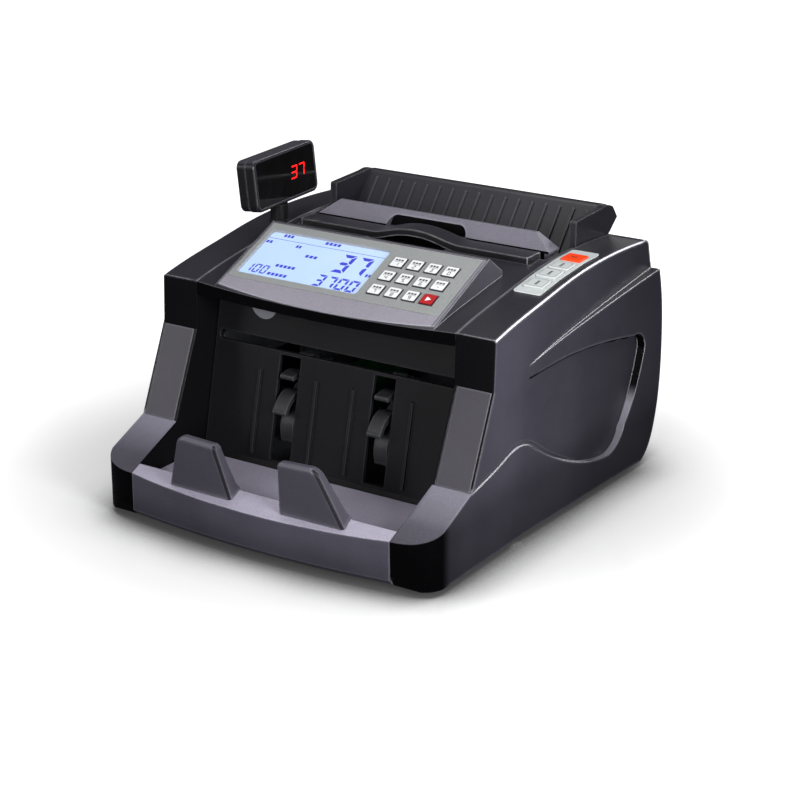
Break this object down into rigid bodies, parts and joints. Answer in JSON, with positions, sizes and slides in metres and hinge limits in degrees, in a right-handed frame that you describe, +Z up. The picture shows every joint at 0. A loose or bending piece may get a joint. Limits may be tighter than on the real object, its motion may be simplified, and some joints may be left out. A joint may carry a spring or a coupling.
{
  "type": "banknote counting machine",
  "caption": "Desktop banknote counter with rear hopper, front stacker pocket, sloping LCD console with keypad, carry handle and swivelling customer display.",
  "frame": {"origin": "on the desk plane, under the middle of the footprint: the middle of the machine's width and of its depth", "axes": "+X to the right seen from the front, +Y towards the back, +Z up"},
  "size_m": [0.2622, 0.2966, 0.2059],
  "materials": {
    "graphite": "fine satin texture",
    "black_plastic": "fine matt",
    "bezel_metallic": "satin metallic paint",
    "overlay_film": "satin film",
    "lcd": "backlit",
    "clear_window": "clear",
    "smoked_window": "high gloss",
    "clear_tab": "translucent",
    "key_white": "satin",
    "key_red": "satin",
    "side_label": "satin",
    "side_orange": "satin",
    "steel": "ground",
    "frame_steel": "zinc plated",
    "rubber": "matt",
    "finger_wheel": "moulded nylon",
    "pcb": "solder mask"
  },
  "bodies": {
    "root": {"base_chassis": "black_plastic", "rubber_feet": "rubber", "left_side_cover": "graphite", "right_side_cover": "graphite", "left_cheek_trim": "graphite", "right_cheek_trim": "graphite", "centre_cover": "graphite", "console_bezel": "bezel_metallic", "keypad_overlay": "overlay_film", "lcd_lens": "clear_window", "lcd_module": "lcd", "control_board": "pcb", "side_key_plate": "side_label", "handle_pivot_pins": "steel", "hopper_front_guide": "graphite", "hopper_rear_tray": "black_plastic", "retard_block": "rubber", "exit_tab": "clear_tab", "stacker_back_plate": "black_plastic", "left_frame_plate": "frame_steel", "right_frame_plate": "frame_steel", "chassis_screws": "steel", "main_motor": "frame_steel", "drive_belt": "rubber", "power_supply": "pcb", "rear_cover": "graphite", "power_inlet": "black_plastic"},
    "display": {"display_post": "black_plastic", "display_front_shell": "black_plastic", "display_back_shell": "black_plastic", "display_window": "smoked_window"},
    "handle": {"carry_handle": "graphite"},
    "drawer": {"stacker_drawer": "graphite", "left_stop_paddle": "graphite", "right_stop_paddle": "graphite"},
    "feed": {"feed_shaft": "steel", "feed_rollers": "rubber"},
    "kicker": {"kicker_shaft": "steel", "kicker_rollers": "rubber"},
    "stacker": {"stacker_shaft": "steel", "stacker_wheels": "finger_wheel"},
    "motor": {"motor_pulley": "steel"},
    "rocker": {"power_switch": "black_plastic"},
    "knob": {"gap_adjust_knob": "black_plastic"},
    "key_1": {"key_1": "key_white"},
    "key_2": {"key_2": "key_white"},
    "key_3": {"key_3": "key_white"},
    "key_0": {"key_0": "key_white"},
    "key_4": {"key_4": "key_white"},
    "key_5": {"key_5": "key_white"},
    "key_6": {"key_6": "key_white"},
    "key_minus": {"key_minus": "key_white"},
    "key_7": {"key_7": "key_white"},
    "key_8": {"key_8": "key_white"},
    "key_9": {"key_9": "key_white"},
    "key_start": {"key_start": "key_red"},
    "side_key_1": {"side_key_1": "side_orange"},
    "side_key_2": {"side_key_2": "side_label"},
    "side_key_3": {"side_key_3": "side_label"},
    "side_key_4": {"side_key_4": "side_label"}
  },
  "joints": [
    {"name": "display_swivel", "type": "hinge", "parent": "root", "child": "display", "pos_m": [-0.1032, 0.03148, 0.16], "axis": [0, 0, 1], "range_deg": [-100, 80]},
    {"name": "handle_lift", "type": "hinge", "parent": "root", "child": "handle", "pos_m": [0, 0.06648, 0.152], "axis": [-1, 0, 0], "range_deg": [0, 70]},
    {"name": "drawer_slide", "type": "slide", "parent": "root", "child": "drawer", "axis": [0, -1, 0], "range_m": [0, 0.02]},
    {"name": "stacker_spin", "type": "hinge", "parent": "root", "child": "stacker", "pos_m": [0, -0.03252, 0.062], "axis": [1, 0, 0], "continuous": true},
    {"name": "feed_spin", "type": "hinge", "parent": "root", "child": "feed", "pos_m": [0, 0.06448, 0.104], "axis": [1, 0, 0], "continuous": true},
    {"name": "kicker_spin", "type": "hinge", "parent": "root", "child": "kicker", "pos_m": [0, 0.08848, 0.112], "axis": [1, 0, 0], "continuous": true},
    {"name": "motor_spin", "type": "hinge", "parent": "root", "child": "motor", "pos_m": [0, 0.08048, 0.05], "axis": [1, 0, 0], "continuous": true},
    {"name": "power_rocker", "type": "hinge", "parent": "root", "child": "rocker", "pos_m": [-0.044, 0.13468, 0.062], "axis": [1, 0, 0], "range_deg": [0, 12]},
    {"name": "gap_adjust", "type": "hinge", "parent": "root", "child": "knob", "pos_m": [0.066, 0.14048, 0.126], "axis": [0, 1, 0], "range_deg": [-180, 180]},
    {"name": "key_1_press", "type": "slide", "parent": "root", "child": "key_1", "axis": [0, 0.3943, -0.919], "range_m": [0, 0.0008], "stiffness_N_per_m": 400},
    {"name": "key_2_press", "type": "slide", "parent": "root", "child": "key_2", "axis": [0, 0.3943, -0.919], "range_m": [0, 0.0008], "stiffness_N_per_m": 400},
    {"name": "key_3_press", "type": "slide", "parent": "root", "child": "key_3", "axis": [0, 0.3943, -0.919], "range_m": [0, 0.0008], "stiffness_N_per_m": 400},
    {"name": "key_0_press", "type": "slide", "parent": "root", "child": "key_0", "axis": [0, 0.3943, -0.919], "range_m": [0, 0.0008], "stiffness_N_per_m": 400},
    {"name": "key_4_press", "type": "slide", "parent": "root", "child": "key_4", "axis": [0, 0.3943, -0.919], "range_m": [0, 0.0008], "stiffness_N_per_m": 400},
    {"name": "key_5_press", "type": "slide", "parent": "root", "child": "key_5", "axis": [0, 0.3943, -0.919], "range_m": [0, 0.0008], "stiffness_N_per_m": 400},
    {"name": "key_6_press", "type": "slide", "parent": "root", "child": "key_6", "axis": [0, 0.3943, -0.919], "range_m": [0, 0.0008], "stiffness_N_per_m": 400},
    {"name": "key_minus_press", "type": "slide", "parent": "root", "child": "key_minus", "axis": [0, 0.3943, -0.919], "range_m": [0, 0.0008], "stiffness_N_per_m": 400},
    {"name": "key_7_press", "type": "slide", "parent": "root", "child": "key_7", "axis": [0, 0.3943, -0.919], "range_m": [0, 0.0008], "stiffness_N_per_m": 400},
    {"name": "key_8_press", "type": "slide", "parent": "root", "child": "key_8", "axis": [0, 0.3943, -0.919], "range_m": [0, 0.0008], "stiffness_N_per_m": 400},
    {"name": "key_9_press", "type": "slide", "parent": "root", "child": "key_9", "axis": [0, 0.3943, -0.919], "range_m": [0, 0.0008], "stiffness_N_per_m": 400},
    {"name": "key_start_press", "type": "slide", "parent": "root", "child": "key_start", "axis": [0, 0.3943, -0.919], "range_m": [0, 0.0008], "stiffness_N_per_m": 400},
    {"name": "side_key_1_press", "type": "slide", "parent": "root", "child": "side_key_1", "axis": [0, 0.0335, -0.9994], "range_m": [0, 0.0006], "stiffness_N_per_m": 400},
    {"name": "side_key_2_press", "type": "slide", "parent": "root", "child": "side_key_2", "axis": [0, 0.084, -0.9965], "range_m": [0, 0.0006], "stiffness_N_per_m": 400},
    {"name": "side_key_3_press", "type": "slide", "parent": "root", "child": "side_key_3", "axis": [0, 0.1137, -0.9935], "range_m": [0, 0.0006], "stiffness_N_per_m": 400},
    {"name": "side_key_4_press", "type": "slide", "parent": "root", "child": "side_key_4", "axis": [0, 0.1423, -0.9898], "range_m": [0, 0.0006], "stiffness_N_per_m": 400}
  ],
  "couplings": [
    {"joint": "feed_spin", "follows": "stacker_spin", "ratio": 1.3636},
    {"joint": "kicker_spin", "follows": "stacker_spin", "ratio": 1.3636},
    {"joint": "motor_spin", "follows": "stacker_spin", "ratio": 2.1429}
  ]
}
